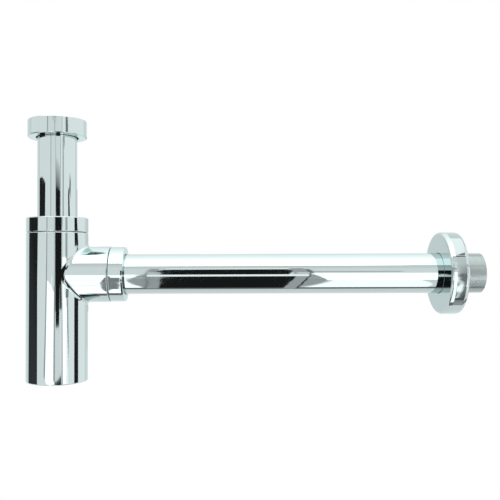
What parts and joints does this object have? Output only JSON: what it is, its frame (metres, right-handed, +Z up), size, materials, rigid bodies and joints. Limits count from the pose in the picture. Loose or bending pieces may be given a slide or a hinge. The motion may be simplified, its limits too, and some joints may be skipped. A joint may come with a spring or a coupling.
{
  "type": "bottle trap",
  "caption": "Round chrome plated bottle trap: union nut and inlet tube into a closed bottle, side boss with ring nut, straight outlet tube and a sliding wall flange.",
  "frame": {"origin": "top of the union gasket on the inlet axis, where the tail of the basin waste lands", "axes": "+Z up along the inlet tube, out of the union nut; +X along the outlet tube, towards the wall"},
  "size_m": [0.3639, 0.0654, 0.2103],
  "materials": {
    "polished_chrome": "polished",
    "black_rubber": "matt",
    "white_plastic": "satin"
  },
  "bodies": {
    "inlet_tube": {"inlet_tube": "polished_chrome", "union_gasket": "black_rubber"},
    "union_nut": {"union_nut": "polished_chrome"},
    "inlet_seal": {"inlet_seal": "black_rubber"},
    "bottle": {"bottle_body": "polished_chrome", "outlet_seal": "black_rubber"},
    "inlet_slip_ring": {"inlet_slip_ring": "white_plastic"},
    "inlet_ring_nut": {"inlet_ring_nut": "polished_chrome"},
    "outlet_slip_ring": {"outlet_slip_ring": "white_plastic"},
    "outlet_ring_nut": {"outlet_ring_nut": "polished_chrome"},
    "outlet_tube": {"outlet_tube": "polished_chrome"},
    "wall_flange": {"wall_flange": "polished_chrome"}
  },
  "joints": [
    {"name": "union_nut_turn", "type": "hinge", "parent": "inlet_tube", "child": "union_nut", "pos_m": [0, 0, 0], "axis": [0, 0, 1], "continuous": true},
    {"name": "height_slide", "type": "slide", "parent": "inlet_tube", "child": "inlet_seal", "axis": [0, 0, 1], "range_m": [-0.03, 0.01]},
    {"name": "bottle_swivel", "type": "hinge", "parent": "inlet_seal", "child": "bottle", "pos_m": [0, 0, -0.08], "axis": [0, 0, 1], "continuous": true},
    {"name": "inlet_slip_lift", "type": "slide", "parent": "bottle", "child": "inlet_slip_ring", "axis": [0, 0, 1], "range_m": [0, 0.0075]},
    {"name": "inlet_ring_turn", "type": "hinge", "parent": "inlet_slip_ring", "child": "inlet_ring_nut", "pos_m": [0, 0, -0.08], "axis": [0, 0, 1], "range_deg": [0, 1800]},
    {"name": "outlet_slip_shift", "type": "slide", "parent": "bottle", "child": "outlet_slip_ring", "axis": [1, 0, 0], "range_m": [0, 0.0075]},
    {"name": "outlet_ring_turn", "type": "hinge", "parent": "outlet_slip_ring", "child": "outlet_ring_nut", "pos_m": [0.05, 0, -0.117], "axis": [1, 0, 0], "range_deg": [0, 1800]},
    {"name": "outlet_slide", "type": "slide", "parent": "bottle", "child": "outlet_tube", "axis": [1, 0, 0], "range_m": [-0.0035, 0.012]},
    {"name": "flange_slide", "type": "slide", "parent": "outlet_tube", "child": "wall_flange", "axis": [1, 0, 0], "range_m": [-0.23, 0.018]}
  ],
  "couplings": [
    {"joint": "inlet_slip_lift", "follows": "inlet_ring_turn", "m_per_rad": 0.0002387},
    {"joint": "outlet_slip_shift", "follows": "outlet_ring_turn", "m_per_rad": 0.0002387}
  ]
}
